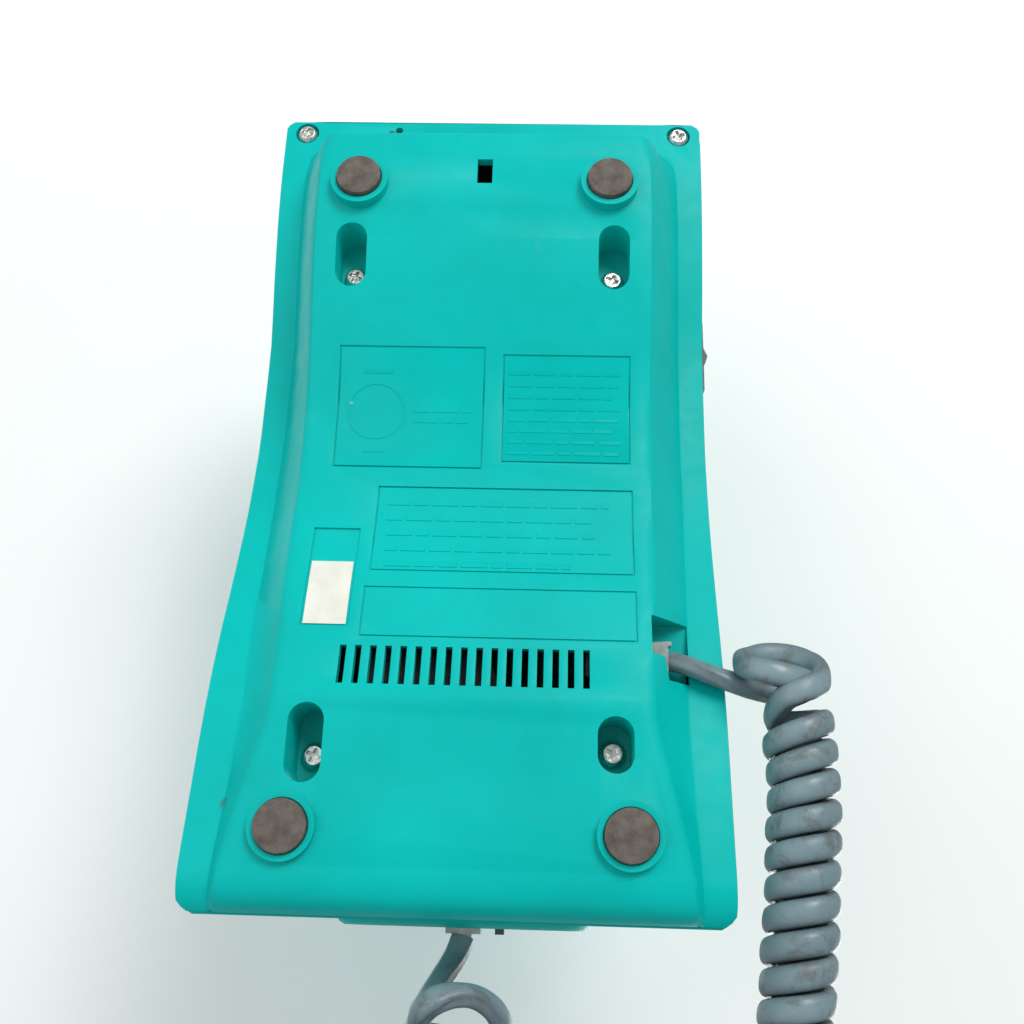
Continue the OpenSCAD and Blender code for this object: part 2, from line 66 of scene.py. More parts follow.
# ---------------------------------------------------------------- curves
def catmull(P, k):
    P = [Vector(p) for p in P]
    out = []
    for i in range(len(P) - 1):
        a, b, c, d = P[max(i - 1, 0)], P[i], P[i + 1], P[min(i + 2, len(P) - 1)]
        for j in range(k):
            t = j / k
            out.append(0.5 * ((2 * b) + (c - a) * t + (2 * a - 5 * b + 4 * c - d) * t * t + (3 * b - a - 3 * c + d) * t ** 3))
    out.append(P[-1])
    return out


def arclen(P):
    s = [0.0]
    for a, b in zip(P, P[1:]):
        s.append(s[-1] + (b - a).length)
    return s


def link(name, me, body=None, mat=None, smooth=True, angle=35):
    ob = bpy.data.objects.new(name, me)
    SC.collection.objects.link(ob)
    if mat is not None:
        me.materials.clear()
        me.materials.append(mat)
    if smooth and len(me.polygons):
        me.polygons.foreach_set("use_smooth", [True] * len(me.polygons))
        me.set_sharp_from_angle(angle=math.radians(angle))
    if body:
        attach(ob, body)
    return ob


# ---------------------------------------------------------------- cord route (mm)
LEAD_A = [(-43.3, -47.5, 13.1), (-46.6, -48.4, 12.5), (-50.6, -50.1, 11.4), (-55.2, -51.7, 11.0), (-60.2, -52.9, 12.0),
          (-65.2, -53.5, 13.3), (-69.2, -53.4, 12.7), (-71.5, -53.1, 9.9), (-71.1, -52.8, 6.6), (-68.2, -52.4, 4.1),
          (-64.4, -51.8, 3.0), (-60.6, -50.8, 3.9), (-58.4, -49.4, 6.7), (-58.4, -47.9, 9.9), (-60.6, -46.6, 12.3), (-64.2, -45.6, 13.3),
          (-69.0, -45.9, 12.9), (-72.9, -47.8, 10.9), (-74.0, -50.6, 7.9), (-72.9, -52.9, 4.6), (-69.2, -54.9, 2.35),
          (-65.2, -56.4, 3.4)]
AXIS = [(-68.4, -57.8), (-69.0, -67), (-69.1, -76), (-68.4, -86), (-66.9, -102), (-65.2, -117), (-61.5, -136), (-51, -151),
        (-34, -161), (-10, -168), (16, -171.5), (38, -170.5), (53, -164.5), (60.5, -154), (57, -143), (45, -137.5),
        (30, -138), (17, -139.5), (8.5, -137.5), (2.6, -131), (1, -120)]
LEAD_Z = [(5.6, -117.6, 4.4), (3.2, -115.2, 3.1), (-0.6, -113.9, 4.4), (-5.2, -114.3, 6.6), (-9.2, -117.4, 9.2), (-10.2, -122.8, 12.6),
          (-7.2, -128.2, 16.0), (-1.2, -130.6, 18.2), (4.8, -128.3, 19.4), (7.8, -122.8, 22.6), (6.4, -117.4, 28.2),
          (3.9, -112.8, 34.4), (1.5, -108.6, 39.2), (0.0, -104.3, 40.5)]
ZC, RM, PITCH = 7.7, 5.35, 5.65


def build_cord_path():
    A = catmull(LEAD_A, 6)
    ax = catmull([(x, y, ZC) for x, y in AXIS], 24)
    s = arclen(ax)
    total = s[-1]
    # local bend radius, then pitch that keeps the turns clear on the inside of a bend
    def at(q):
        q = min(max(q, 0.0), total)
        lo, hi = 0, len(s) - 1
        while hi - lo > 1:
            m = (lo + hi) // 2
            if s[m] <= q:
                lo = m
            else:
                hi = m
        t = (q - s[lo]) / max(s[hi] - s[lo], 1e-9)
        return ax[lo].lerp(ax[hi], t)
    def tan(q):
        return (at(q + 1.0) - at(q - 1.0)).normalized()
    steps = 4000
    ds = total / steps
    ph = [0.0]
    for i in range(steps):
        q = (i + 0.5) * ds
        kap = (tan(q + 2.5) - tan(q - 2.5)).length / 5.0
        p = max(PITCH, 5.2 / max(0.35, 1 - 5.4 * kap * 0.9))
        ph.append(ph[-1] + ds / p)
    # whole number of turns plus the half turn between the two ends
    turns = math.floor(ph[-1]) + 0.5
    k = turns / ph[-1]
    per = 24
    cnt = int(turns * per)
    helix, hints = [], []
    j = 0
    for i in range(1, cnt):
        t = i / per / k
        while ph[j + 1] < t:
            j += 1
        q = (j + (t - ph[j]) / (ph[j + 1] - ph[j])) * ds
        T = tan(q)
        S = T.cross(Vector((0, 0, 1)))
        a = math.radians(270) + 2 * math.pi * i / per
        wob = 0.18 * math.sin(q * 0.31) + 0.12 * math.sin(q * 0.83 + 1.0)
        helix.append(at(q) - T * (0.14 * RM * math.sin(a)) + (RM + wob * 0.5) * (math.cos(a) * Vector((0, 0, 1)) + math.sin(a) * S))
        hints.append(T)
    Zp = catmull(LEAD_Z, 6)
    pts, hint = [], []
    for i, p in enumerate(A):
        t = min(1.0, i / 42.0)
        pts.append(p)
        hint.append(Vector((0, 0, -1)).lerp(Vector((0, -1, 0)), t * t * (3 - 2 * t)))
    pts += helix
    hint += hints
    n = len(Zp)
    for i, p in enumerate(Zp):
        t = i / (n - 1)
        pts.append(p)
        # ring face at first, then flat across the plug
        w = Vector((0, 1, 0)).lerp(Vector((-0.2, 0.1, 1)), min(1, t * 5)) if t < 0.5 else Vector((-0.2, 0.1, 1)).lerp(Vector((1, 0, 0)), (t - 0.5) * 2)
        hint.append(w)
    # even spacing on the joins
    out_p, out_h = [pts[0]], [hint[0]]
    for p, h in zip(pts[1:], hint[1:]):
        if (p - out_p[-1]).length > 0.35:
            out_p.append(p)
            out_h.append(h)
    for _ in range(3):
        q = [out_p[0]] + [out_p[i] * 0.5 + (out_p[i - 1] + out_p[i + 1]) * 0.25 for i in range(1, len(out_p) - 1)] + [out_p[-1]]
        hq = [out_h[0]] + [out_h[i] * 0.5 + (out_h[i - 1] + out_h[i + 1]) * 0.25 for i in range(1, len(out_h) - 1)] + [out_h[-1]]
        # only the joins are eased: the turns keep their radius
        lim_a, lim_b = len(A) - 6, len(out_p) - n - 6
        out_p = [q[i] if (i < lim_a + 14 or i > lim_b - 6) else out_p[i] for i in range(len(out_p))]
        out_h = hq
    return out_p, out_h


CW, CT = 2.6, 2.05          # half width and half thickness of the cord


def cord_profile():
    prof = []
    n = 24
    for i in range(n):
        a = 2 * math.pi * i / n
        c, s = math.cos(a), math.sin(a)
        u = CW * math.copysign(abs(c) ** 0.78, c)
        v = CT * math.copysign(abs(s) ** 0.78, s)
        if i == 0 or i == n // 2:     # fine mould groove along the narrow sides
            u *= 0.82
        prof.append((u, v))
    return prof


def make_cord(mat):
    P, H = build_cord_path()
    prof = cord_profile()
    n, m = len(prof), len(P)
    verts, turn_shade = [], []
    prev = None
    for i in range(m):
        T = (P[min(i + 1, m - 1)] - P[max(i - 1, 0)]).normalized()
        h = H[i] - T * H[i].dot(T)
        if h.length < 0.2 and prev is not None:
            h = prev - T * prev.dot(T)
        h.normalize()
        if prev is not None and h.dot(prev) < 0:
            h = -h
        prev = h
        v = T.cross(h)
        for (a, b) in prof:
            q = P[i] + h * a + v * b
            verts.append((q.x * MM, q.y * MM, q.z * MM))
            # painted shade: a mask that is 1 on the cord's narrow sides, where the coil's neighbouring turns meet, and
            # fades to 0 on the wide faces
            turn_shade.append(min(1.0, abs(a) / CW) ** 3)
    faces = []
    for i in range(m - 1):
        for j in range(n):
            faces.append((i * n + j, (i + 1) * n + j, (i + 1) * n + (j + 1) % n, i * n + (j + 1) % n))
    faces.append(tuple(range(n)))
    faces.append(tuple((m - 1) * n + j for j in range(n - 1, -1, -1)))
    me = bpy.data.meshes.new("handset_cord")
    me.from_pydata(verts, [], faces)
    me.update()
    # vertex attribute that carries the painted shade mask between the turns
    at = me.color_attributes.new("soil_and_shade", "FLOAT_COLOR", "POINT")
    for k, d in enumerate(turn_shade):
        at.data[k].color = (d, d, d, 1)
    bm = bmesh.new(); bm.from_mesh(me); bmesh.ops.recalc_face_normals(bm, faces=bm.faces); bm.to_mesh(me); bm.free()
    ob = link("handset_cord", me, mat=mat, angle=60)
    path = [[c * MM for c in p] for p in P]
    length = sum((b - a).length for a, b in zip(P, P[1:])) * MM
    return ob, path, length


# ---------------------------------------------------------------- materials
class G:
    """A small helper over one node tree."""
    def __init__(self, name):
        self.m = bpy.data.materials.new(name)
        self.m.use_nodes = True
        self.t = self.m.node_tree
        self.b = self.t.nodes["Principled BSDF"]
        self.tc = self.t.nodes.new("ShaderNodeTexCoord").outputs["Object"]

    def n(self, kind, **kw):
        nd = self.t.nodes.new(kind)
        for k, v in kw.items():
            setattr(nd, k, v)
        return nd

    def l(self, a, b):
        self.t.links.new(a, b)

    def noise(self, scale, detail=3.0, rough=0.55, vec=None, dist=0.0):
        nd = self.n("ShaderNodeTexNoise")
        nd.inputs["Scale"].default_value = scale
        nd.inputs["Detail"].default_value = detail
        nd.inputs["Roughness"].default_value = rough
        nd.inputs["Distortion"].default_value = dist
        self.l(vec or self.tc, nd.inputs["Vector"])
        return nd.outputs["Fac"]

    def rng(self, x, a, b, c=0.0, d=1.0, smooth=True):
        nd = self.n("ShaderNodeMapRange", interpolation_type="SMOOTHSTEP" if smooth else "LINEAR")
        self.l(x, nd.inputs["Value"])
        for i, v in zip(("From Min", "From Max", "To Min", "To Max"), (a, b, c, d)):
            nd.inputs[i].default_value = v
        return nd.outputs["Result"]

    def math(self, op, a, b=None, clamp=False):
        nd = self.n("ShaderNodeMath", operation=op, use_clamp=clamp)
        for i, v in enumerate((a, b)):
            if v is None:
                continue
            if isinstance(v, (int, float)):
                nd.inputs[i].default_value = v
            else:
                self.l(v, nd.inputs[i])
        return nd.outputs[0]

    def mix(self, fac, a, b):
        nd = self.n("ShaderNodeMix", data_type="RGBA")
        if isinstance(fac, (int, float)):
            nd.inputs[0].default_value = fac
        else:
            self.l(fac, nd.inputs[0])
        for i, v in ((6, a), (7, b)):
            if isinstance(v, (tuple, list)):
                nd.inputs[i].default_value = (*v[:3], 1)
            else:
                self.l(v, nd.inputs[i])
        return nd.outputs[2]

    def bump(self, h, strength, dist, prev=None):
        nd = self.n("ShaderNodeBump")
        nd.inputs["Strength"].default_value = strength
        nd.inputs["Distance"].default_value = dist
        self.l(h, nd.inputs["Height"])
        if prev is not None:
            self.l(prev, nd.inputs["Normal"])
        return nd.outputs["Normal"]

    def spot(self, x, y, z, r, edge=0.4):
        """1 inside a ball round a point, in metres."""
        nd = self.n("ShaderNodeVectorMath", operation="DISTANCE")
        self.l(self.tc, nd.inputs[0])
        nd.inputs[1].default_value = (x, y, z)
        return self.rng(nd.outputs["Value"], r * (1 - edge), r, 1.0, 0.0)

    def xyz(self):
        nd = self.n("ShaderNodeSeparateXYZ")
        self.l(self.tc, nd.inputs[0])
        return nd.outputs

    def rect(self, xa, xb, ya, yb, e=0.0003):
        o = self.xyz()
        f = None
        for c, a, b in ((o[0], min(xa, xb), max(xa, xb)), (o[1], min(ya, yb), max(ya, yb))):
            g = self.math("MULTIPLY", self.rng(c, a - e, a + e), self.rng(c, b - e, b + e, 1.0, 0.0))
            f = g if f is None else self.math("MULTIPLY", f, g)
        return f


def plastic(name, col, rough=0.42, grain=2600.0, gs=0.12, var=0.06, coat=0.0, spec=0.5, soil_and_shade=0.35, soilcol=None, gd=0.0001):
    g = G(name)
    b = g.b
    n1 = g.noise(38, 4, 0.6)
    n2 = g.noise(420, 3, 0.6)
    dark = tuple(c * (1 - var * 2.2) for c in col)
    lite = tuple(min(1, c * (1 + var) + var * 0.02) for c in col)
    c = g.mix(g.rng(n1, 0.3, 0.7), dark, lite)
    sc = soilcol or tuple(v * 0.45 + 0.02 for v in col)
    c = g.mix(g.math("MULTIPLY", g.rng(n2, 0.6, 0.82), soil_and_shade), c, sc)
    g.l(c, b.inputs["Base Color"])
    rr = g.rng(g.noise(160, 4, 0.65), 0.25, 0.75, rough - 0.07, rough + 0.09)
    g.l(rr, b.inputs["Roughness"])
    b.inputs["Coat Weight"].default_value = coat
    b.inputs["Coat Roughness"].default_value = 0.12
    b.inputs["Specular IOR Level"].default_value = spec
    nb = g.bump(g.noise(grain, 2, 0.5), gs, gd)
    g.l(nb, b.inputs["Normal"])
    return g.m


def metal(name, col, rough=0.28, brushed=None, rust=0.0):
    g = G(name)
    b = g.b
    b.inputs["Metallic"].default_value = 1.0
    n1 = g.noise(900, 4, 0.6)
    c = g.mix(g.rng(n1, 0.3, 0.75), tuple(v * 0.78 for v in col), col)
    if rust:
        c = g.mix(g.math("MULTIPLY", g.rng(g.noise(700, 5, 0.7), 0.55, 0.68), rust), c, (0.20, 0.10, 0.05))
    g.l(c, b.inputs["Base Color"])
    g.l(g.rng(g.noise(500, 4, 0.6), 0.3, 0.7, rough - 0.06, rough + 0.14), b.inputs["Roughness"])
    g.l(g.bump(g.noise(3000, 2, 0.5), 0.08, 0.00005), b.inputs["Normal"])
    return g.m


def teal(name, under=False):
    """Moulded teal shell: fine spark texture, slight mottling, scuffs, specks; the underside's two label panels are polished."""
    g = G(name)
    b = g.b
    base, lite, dark = (0.0, 0.490, 0.458), (0.0, 0.530, 0.500), (0.0, 0.450, 0.418)
    c = g.mix(g.rng(g.noise(22, 4, 0.6), 0.3, 0.7), dark, lite)
    c = g.mix(g.rng(g.noise(130, 3, 0.6), 0.35, 0.7, 0.0, 0.55), c, base)
    # pale dust film in broad patches, darker soil in small grains
    c = g.mix(g.rng(g.noise(55, 5, 0.7, dist=0.4), 0.62, 0.8, 0.0, 0.10), c, (0.16, 0.58, 0.55))
    c = g.mix(g.rng(g.noise(1500, 2, 0.5), 0.70, 0.80, 0.0, 0.35), c, (0.02, 0.16, 0.14))
    rough = g.rng(g.noise(210, 4, 0.6), 0.3, 0.7, 0.33, 0.46)
    hgt = g.noise(3800, 2, 0.5)
    gs = None
    if under:
        pa = g.rect(-0.0014, 0.0332, -0.0032, 0.0266)
        pb = g.rect(-0.0356, -0.0056, -0.0014, 0.025)
        pol = g.math("MAXIMUM", pa, pb)
        rough = g.math("MULTIPLY", rough, g.rng(pol, 0, 1, 1.0, 0.42, smooth=False))
        hgt = g.math("MULTIPLY", hgt, g.rng(pol, 0, 1, 1.0, 0.1, smooth=False))
        for (x, y, z, r, col, k) in (
                (0.0268, 0.0958, 0.0225, 0.0011, (0.05, 0.02, 0.01), 0.9),
                (-0.0338, -0.0936, 0.0060, 0.0007, (0.01, 0.05, 0.05), 0.9),
                (0.0470, -0.0800, 0.0085, 0.0019, (0.06, 0.10, 0.08), 0.65),
                (0.0462, -0.0775, 0.0090, 0.0012, (0.06, 0.10, 0.08), 0.5),
                (0.0300, 0.0130, 0.0150, 0.0005, (0.4, 0.6, 0.58), 0.5)):
            s = g.math("MULTIPLY", g.spot(x, y, z, r, 0.5), g.rng(g.noise(1400, 3, 0.7), 0.3, 0.55))
            c = g.mix(g.math("MULTIPLY", s, k), c, col)
    g.l(c, b.inputs["Base Color"])
    g.l(rough, b.inputs["Roughness"])
    b.inputs["Specular IOR Level"].default_value = 0.10
    nb = g.bump(hgt, 0.22, 0.00012)
    nb = g.bump(g.noise(60, 2, 0.4), 0.04, 0.0006, nb)
    g.l(nb, b.inputs["Normal"])
    return g.m


def rubber():
    g = G("foot_rubber_mat")
    b = g.b
    c = g.mix(g.rng(g.noise(300, 4, 0.65), 0.3, 0.7), (0.085, 0.068, 0.056), (0.150, 0.128, 0.110))
    c = g.mix(g.rng(g.noise(1300, 3, 0.6), 0.66, 0.76, 0.0, 0.8), c, (0.38, 0.36, 0.33))
    c = g.mix(g.rng(g.noise(800, 3, 0.6), 0.68, 0.74, 0.0, 0.9), c, (0.03, 0.022, 0.018))
    g.l(c, b.inputs["Base Color"])
    g.l(g.rng(g.noise(250, 3, 0.6), 0.3, 0.7, 0.62, 0.86), b.inputs["Roughness"])
    nb = g.bump(g.noise(1800, 4, 0.7), 0.55, 0.0002)
    g.l(nb, b.inputs["Normal"])
    return g.m


def cord_mat():
    g = G("cord_jacket_mat")
    b = g.b
    c = g.mix(g.rng(g.noise(45, 4, 0.6), 0.3, 0.7), (0.150, 0.228, 0.262), (0.210, 0.300, 0.335))
    # painted shade: the cord's narrow sides, where the turns meet, are mixed toward a darker blue of the cord, broken
    # up by noise
    at = g.n("ShaderNodeAttribute", attribute_name="soil_and_shade")
    turn_shade_mask = g.math("MULTIPLY", at.outputs["Fac"], g.rng(g.noise(120, 3, 0.6), 0.25, 0.6, 0.25, 0.8))
    c = g.mix(turn_shade_mask, c, (0.095, 0.125, 0.150))
    # brown handling marks in patches
    c = g.mix(g.math("MULTIPLY", g.rng(g.noise(150, 5, 0.75, dist=0.6), 0.50, 0.66), 0.62), c, (0.105, 0.098, 0.080))
    c = g.mix(g.rng(g.noise(1100, 3, 0.6), 0.72, 0.80, 0.0, 0.75), c, (0.06, 0.05, 0.04))
    g.l(c, b.inputs["Base Color"])
    g.l(g.rng(g.noise(300, 4, 0.6), 0.3, 0.7, 0.30, 0.50), b.inputs["Roughness"])
    b.inputs["Specular IOR Level"].default_value = 0.5
    nb = g.bump(g.noise(900, 3, 0.6), 0.10, 0.0002)
    nb = g.bump(g.noise(220, 3, 0.5), 0.12, 0.0004, nb)
    g.l(nb, b.inputs["Normal"])
    return g.m


def clear_plug():
    g = G("clear_plug_mat")
    b = g.b
    c = g.mix(g.rng(g.noise(260, 4, 0.6), 0.3, 0.7), (0.42, 0.45, 0.42), (0.66, 0.70, 0.67))
    c = g.mix(g.rng(g.noise(900, 3, 0.6), 0.62, 0.75, 0.0, 0.5), c, (0.22, 0.21, 0.17))
    g.l(c, b.inputs["Base Color"])
    g.l(g.rng(g.noise(500, 3, 0.6), 0.3, 0.7, 0.08, 0.25), b.inputs["Roughness"])
    b.inputs["Transmission Weight"].default_value = 0.45
    b.inputs["IOR"].default_value = 1.52
    g.l(g.bump(g.noise(700, 2, 0.5), 0.05, 0.0002), b.inputs["Normal"])
    return g.m


def paper():
    g = G("label_paper_mat")
    b = g.b
    c = g.mix(g.rng(g.noise(120, 4, 0.6), 0.3, 0.7), (0.74, 0.73, 0.64), (0.86, 0.86, 0.80))
    c = g.mix(g.rng(g.noise(700, 4, 0.7), 0.60, 0.75, 0.0, 0.35), c, (0.50, 0.47, 0.38))
    g.l(c, b.inputs["Base Color"])
    g.l(g.rng(g.noise(900, 3, 0.6), 0.3, 0.7, 0.45, 0.7), b.inputs["Roughness"])
    g.l(g.bump(g.noise(2500, 3, 0.6), 0.2, 0.0001), b.inputs["Normal"])
    return g.m


M = {
    "under": teal("teal_underside_mat", True),
    "teal": teal("teal_shell_mat"),
    "rubber": rubber(),
    "cord": cord_mat(),
    "plug": clear_plug(),
    "paper": paper(),
    "screw": metal("screw_steel_mat", (0.80, 0.79, 0.76), 0.24, rust=0.55),
    "steel": metal("plate_steel_mat", (0.55, 0.55, 0.54), 0.4, rust=0.2),
    "gold": metal("contact_gold_mat", (0.90, 0.66, 0.28), 0.25),
    "mic": metal("mic_can_mat", (0.72, 0.72, 0.72), 0.35),
    "solder": metal("solder_mat", (0.62, 0.63, 0.64), 0.35),
    "brown": plastic("board_brown_mat", (0.36, 0.22, 0.09), 0.45, 900, 0.25, 0.12),
    "green": plastic("board_green_mat", (0.03, 0.20, 0.07), 0.35, 900, 0.2, 0.1, coat=0.4),
    "black": plastic("black_plastic_mat", (0.022, 0.022, 0.023), 0.42, 2400, 0.2, 0.1, soil_and_shade=0.3, soilcol=(0.10, 0.095, 0.09)),
    "tape": plastic("transformer_tape_mat", (0.72, 0.48, 0.06), 0.35, 600, 0.2, 0.06),
    "sleeve": plastic("capacitor_sleeve_mat", (0.05, 0.08, 0.28), 0.25, 700, 0.1, 0.06, coat=0.3),
    "grey": plastic("grey_plastic_mat", (0.33, 0.36, 0.35), 0.45, 2400, 0.2, 0.07),
    "dgrey": plastic("dark_grey_plastic_mat", (0.105, 0.105, 0.11), 0.5, 2400, 0.3, 0.1, soil_and_shade=0.5, soilcol=(0.24, 0.23, 0.21)),
    "cream": plastic("cream_plastic_mat", (0.70, 0.66, 0.54), 0.45, 2400, 0.2, 0.06),
    "mrub": plastic("grey_rubber_mat", (0.20, 0.20, 0.20), 0.75, 1500, 0.4, 0.1, spec=0.3),
    "key": plastic("key_plastic_mat", (0.70, 0.69, 0.62), 0.36, 2600, 0.12, 0.04, soil_and_shade=0.25, soilcol=(0.42, 0.39, 0.31)),
    "ink": plastic("legend_ink_mat", (0.03, 0.035, 0.04), 0.5, 2600, 0.2, 0.1),
    "dark": plastic("seam_shadow_mat", (0.0, 0.10, 0.09), 0.7, 2600, 0.2, 0.15),
}

NODE_MAT = {
    "rubber_feet": "rubber", "case_screws": "screw", "corner_screws": "screw", "handset_screws": "screw",
    "label_sticker": "paper", "base_circuit_board": "brown", "handset_circuit_board": "green", "sounder": "black",
    "line_transformer": "tape", "board_capacitors": "sleeve", "line_jack": "grey", "base_cord_jack": "black",
    "handset_cord_jack": "black", "ballast_plate": "steel", "handset_weight": "steel", "ringer_switch_body": "black",
    "ringer_switch_knob": "dgrey", "hook_plunger": "black", "hook_switch_block": "cream", "hang_tab": "grey",
    "receiver_capsule": "black", "microphone_capsule": "mic", "keypad_membrane": "mrub", "volume_slider": "dgrey",
    "volume_slider_track": "black", "base_plug": "plug", "handset_plug": "plug", "base_bottom_cover": "under",
    "base_top_cover": "teal", "handset_back_shell": "teal", "handset_face_shell": "teal",
    "cord_lead_base": "cord", "cord_coil": "cord", "cord_lead_handset": "cord",
}
for n, o in N.items():
    key = NODE_MAT.get(n, "key")
    o.data.materials.clear()
    o.data.materials.append(M[key])

# ---------------------------------------------------------------- the cord comes first
cord, cord_path, cord_len = make_cord(M["cord"])
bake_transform(cord)
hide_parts("cord_lead_base", "cord_coil", "cord_lead_handset")


# gold contact blades and the crimped wires seen through each clear plug
def plug_inside(name, origin, along, across, latch, body):
    bm = bmesh.new()
    def brick(c, dims):
        vs = []
        for i in (-1, 1):
            for j in (-1, 1):
                for k in (-1, 1):
                    p = Vector(origin) + along * (c[0] + i * dims[0]) + across * (c[1] + j * dims[1]) + latch * (c[2] + k * dims[2])
                    vs.append(bm.verts.new(p * MM))
        for f in ((0, 1, 3, 2), (4, 6, 7, 5), (0, 4, 5, 1), (2, 3, 7, 6), (0, 2, 6, 4), (1, 5, 7, 3)):
            bm.faces.new([vs[i] for i in f])
    for i in (-1.5, -0.5, 0.5, 1.5):
        brick((-2.6, i * 1.1, -2.45), (1.5, 0.16, 0.5))
        brick((-1.35, i * 1.1, -1.9), (0.25, 0.16, 0.9))
    bmesh.ops.recalc_face_normals(bm, faces=bm.faces)
    bmesh.ops.bevel(bm, geom=bm.edges[:], offset=0.00005, segments=1, affect="EDGES")
    me = bpy.data.meshes.new(name)
    bm.to_mesh(me); bm.free()
    return link(name, me, body, M["gold"])


c1 = plug_inside("base_plug_contacts", (-31.2, -47.5, 13.1), Vector((1, 0, 0)), Vector((0, 0, -1)), Vector((0, 1, 0)), "base")
c2 = plug_inside("handset_plug_contacts", (0, -92.2, 40.5), Vector((0, 1, 0)), Vector((-1, 0, 0)), Vector((0, 0, 1)), "handset")


# ---------------------------------------------------------------- softened shells
def soften(node, width, angle=28.0, body=None, mat=None, keep=35):
    """A copy of the node's mesh with its hard moulded edges rounded."""
    src = N[node]
    bm = bmesh.new()
    bm.from_mesh(src.data)
    bmesh.ops.remove_doubles(bm, verts=bm.verts, dist=2e-6)
    bmesh.ops.dissolve_degenerate(bm, dist=2e-6, edges=bm.edges)
    bmesh.ops.dissolve_limit(bm, angle_limit=math.radians(0.6), verts=bm.verts, edges=bm.edges, delimit={"NORMAL"})
    lim = math.radians(angle)
    es = [e for e in bm.edges if len(e.link_faces) == 2 and e.calc_face_angle(0) > lim]
    if width > 0:
        bmesh.ops.bevel(bm, geom=es, offset=width, offset_type="OFFSET", segments=2, profile=0.55, affect="EDGES",
                        clamp_overlap=True, miter_outer="SHARP", miter_inner="SHARP")
    bmesh.ops.triangulate(bm, faces=[f for f in bm.faces if len(f.verts) > 4])
    me = bpy.data.meshes.new(node + "_shape")
    bm.to_mesh(me)
    bm.free()
    ob = link(node + "_shape", me, body, mat, angle=keep)
    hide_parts(node)
    return ob


soften("base_bottom_cover", 0.00022, 38, "base", M["under"], keep=22)
soften("base_top_cover", 0.0004, 38, "base", M["teal"], keep=32)
soften("handset_back_shell", 0.0004, 38, "handset", M["teal"], keep=32)
soften("handset_face_shell", 0.0003, 38, "handset", M["teal"], keep=32)
soften("rubber_feet", 0.00035, 40, "base", M["rubber"])
soften("case_screws", 0.00010, 35, "base", M["screw"])
soften("corner_screws", 0.00010, 35, "base", M["screw"])

# ---------------------------------------------------------------- raised relief and legends
from mathutils.bvhtree import BVHTree
UB = N["base_bottom_cover"].data
TREE = BVHTree.FromPolygons([v.co.copy() for v in UB.vertices], [tuple(q.vertices) for q in UB.polygons])


def under_z(x, y):
    hit = TREE.ray_cast(Vector((x * MM, y * MM, -0.02)), Vector((0, 0, 1)))
    return None if hit[0] is None else hit[0].z / MM


def relief(name, strips, rise=0.13, sink=0.12):
    """Low ridges that follow the cover: each strip is a closed or open run of left/right points."""
    bm = bmesh.new()
    for run, closed in strips:
        ring = []
        for (ax, ay, bx, by) in run:
            za, zb = under_z(ax, ay), under_z(bx, by)
            if za is None or zb is None or abs(za - zb) > 0.8:
                ring = None
                break
            ux, uy = (bx - ax) * 0.12, (by - ay) * 0.12
            ring.append([bm.verts.new((x * MM, y * MM, z * MM)) for x, y, z in (
                (ax, ay, za + sink), (ax + ux, ay + uy, za - rise), (bx - ux, by - uy, zb - rise), (bx, by, zb + sink))])
        if not ring:
            continue
        m = len(ring)
        for i in range(m if closed else m - 1):
            a, b = ring[i], ring[(i + 1) % m]
            for j in range(4):
                bm.faces.new((a[j], a[(j + 1) % 4], b[(j + 1) % 4], b[j]))
        if not closed:
            bm.faces.new(ring[0][::-1])
            bm.faces.new(ring[-1])
    bmesh.ops.delete(bm, geom=[v for v in bm.verts if not v.link_faces], context="VERTS")
    bmesh.ops.recalc_face_normals(bm, faces=bm.faces)
    me = bpy.data.meshes.new(name)
    bm.to_mesh(me)
    bm.free()
    return link(name, me, "base", M["under"], angle=30)


def bar(xa, xb, y, h):
    """A plain bar from xa to xb, h high, cut into short steps so it follows the curve."""
    k = max(1, int(abs(xb - xa) / 2.0))
    return [([(xa + (xb - xa) * i / k, y + h / 2, xa + (xb - xa) * i / k, y - h / 2) for i in range(k + 1)], False)]


def dashes(x0, x1, y, h, seed):
    """One row of plain word-length bars across a panel, from x0 towards x1."""
    out, x, i = [], x0, 0
    while x - 1.5 > x1:
        w = 2.2 + 3.6 * abs(math.sin(seed * 2.7 + i * 1.9))
        e = max(x1, x - w)
        out += bar(x, e, y, h)
        x, i = e - 0.9, i + 1
    return out


RING = [(24.0 + 6.9 * math.cos(t), 10.9 + 7.1 * math.sin(t), 24.0 + 6.3 * math.cos(t), 10.9 + 6.5 * math.sin(t))
        for t in [2 * math.pi * i / 48 for i in range(48)]]
relief("panel_a_relief", [(RING, True)] + bar(27.4, 20.4, 20.6, 1.1) + bar(26.6, 21.4, 1.0, 1.0)
       + dashes(15.2, 1.4, 11.4, 1.3, 1) + dashes(15.2, 2.4, 8.7, 1.3, 4))
rows_b = []
for i in range(8):
    rows_b += dashes(-7.0, -34.0 + (i % 3) * 1.3, 20.6 - 2.8 * i, 1.05, i + 2)
relief("panel_b_relief", rows_b)
rows_c = []
for i in range(5):
    rows_c += dashes(19.6 - 0.2 * i, (-30.5, -26.5, -27.2, -30.8, -22.0)[i], -12.2 - 3.88 * i, 1.7, i * 3 + 5)
relief("panel_c_relief", rows_c)


